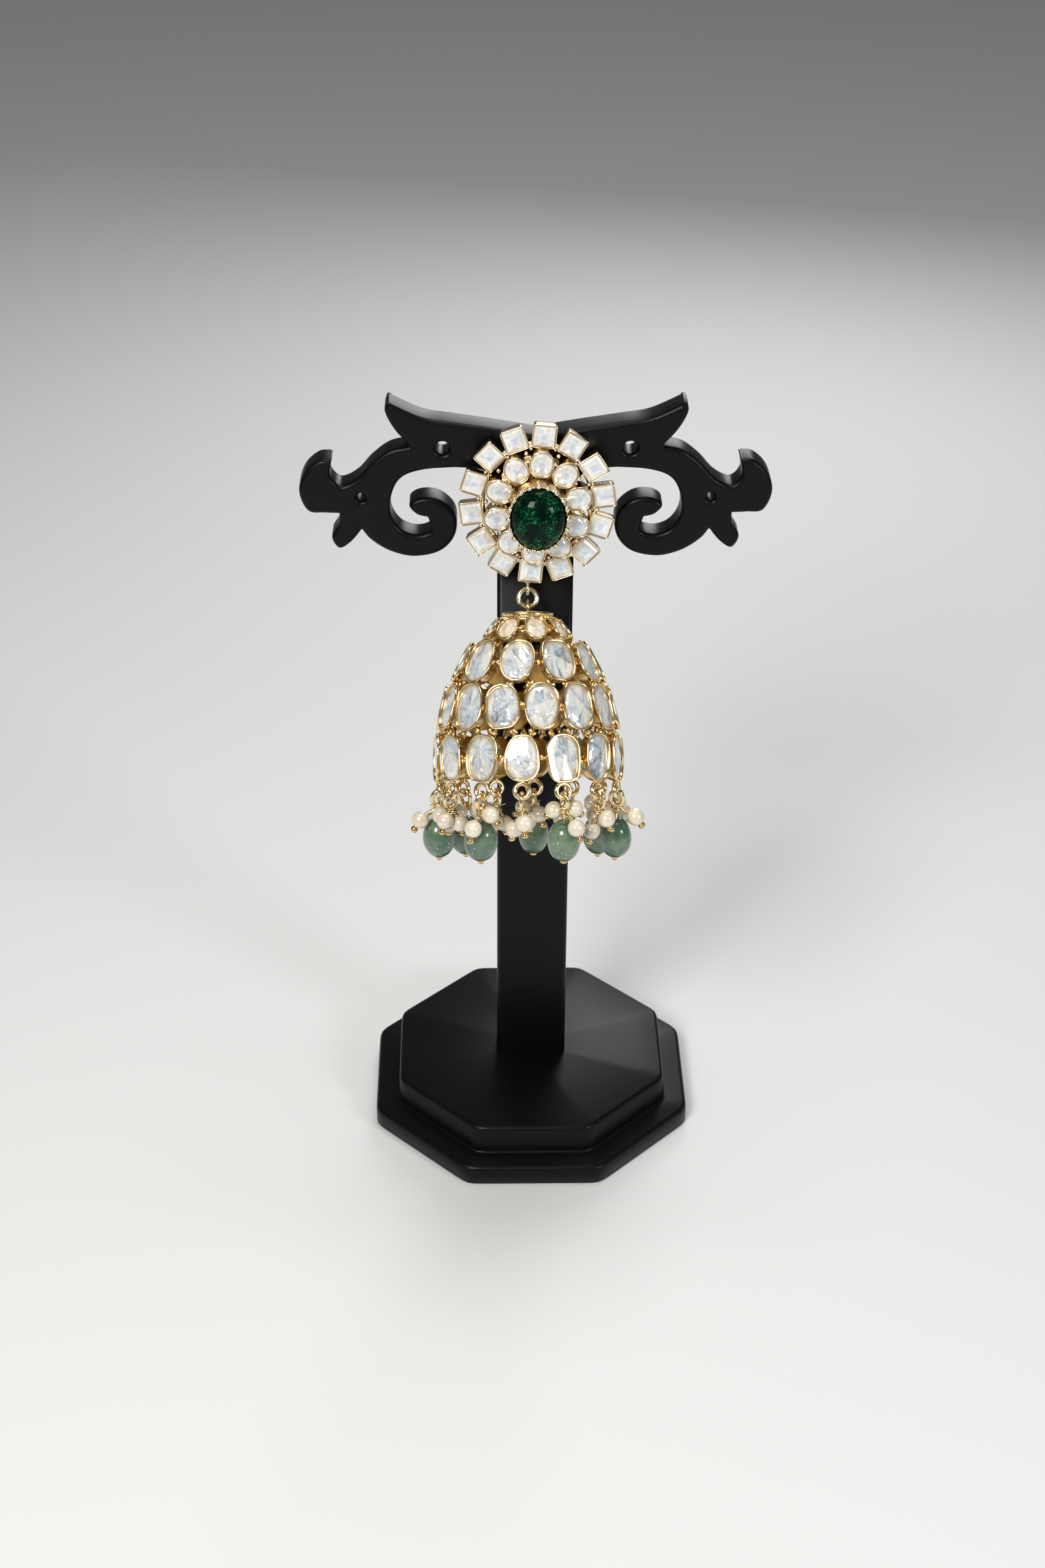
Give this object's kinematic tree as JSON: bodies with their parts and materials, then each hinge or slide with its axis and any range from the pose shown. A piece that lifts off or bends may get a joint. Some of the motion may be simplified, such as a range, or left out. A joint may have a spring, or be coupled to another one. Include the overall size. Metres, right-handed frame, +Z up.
{
  "type": "jhumka earring on display stand",
  "caption": "Bell-shaped jhumka earring with an oval stone-set stud, openwork domed bell and hanging pearl and bead clusters, on a black two-arm display stand.",
  "frame": {"origin": "centre of the display stand's underside", "axes": "+Z up; -Y is the front, where the stud faces; +X to the viewer's right"},
  "size_m": [0.0854, 0.0765, 0.156],
  "materials": {
    "black_plastic": "satin moulded black plastic with fine speckle",
    "pale_gold": "polished pale gold plating",
    "gold": "polished warm gold plating",
    "clear_stone": "flat uncut clear stone, foil backed",
    "emerald": "polished dark green cabochon with inclusions",
    "pearl": "ivory pearl lustre",
    "green_stone": "speckled translucent green tumbled bead"
  },
  "bodies": {
    "stand": {"stand_base": "black_plastic", "stand_post": "black_plastic", "stand_crosspiece": "black_plastic", "ear_post": "pale_gold", "stud_frame": "pale_gold", "centre_stone": "emerald"},
    "ring": {"hang_ring": "pale_gold"},
    "bell": {"bell_frame": "gold", "pearl_cluster_01": "pearl", "pearl_cluster_02": "pearl", "pearl_cluster_03": "pearl", "pearl_cluster_04": "pearl", "pearl_cluster_05": "pearl", "pearl_cluster_06": "pearl", "pearl_cluster_07": "pearl", "pearl_cluster_08": "pearl", "pearl_cluster_09": "pearl", "pearl_cluster_10": "pearl", "pearl_cluster_11": "pearl", "pearl_cluster_12": "pearl", "pearl_cluster_13": "pearl", "pearl_cluster_14": "pearl", "green_bead_02": "green_stone", "green_bead_04": "green_stone", "green_bead_06": "green_stone", "green_bead_08": "green_stone", "green_bead_10": "green_stone", "green_bead_12": "green_stone", "green_bead_14": "green_stone"}
  },
  "joints": [
    {"name": "side_swing", "type": "hinge", "parent": "stand", "child": "ring", "pos_m": [-0.0015, -0.00755, 0.12155], "axis": [0, 1, 0], "range_deg": [-20, 20]},
    {"name": "fore_swing", "type": "hinge", "parent": "ring", "child": "bell", "pos_m": [-0.0015, -0.00925, 0.11872], "axis": [-1, 0, 0], "range_deg": [0, 50]}
  ]
}
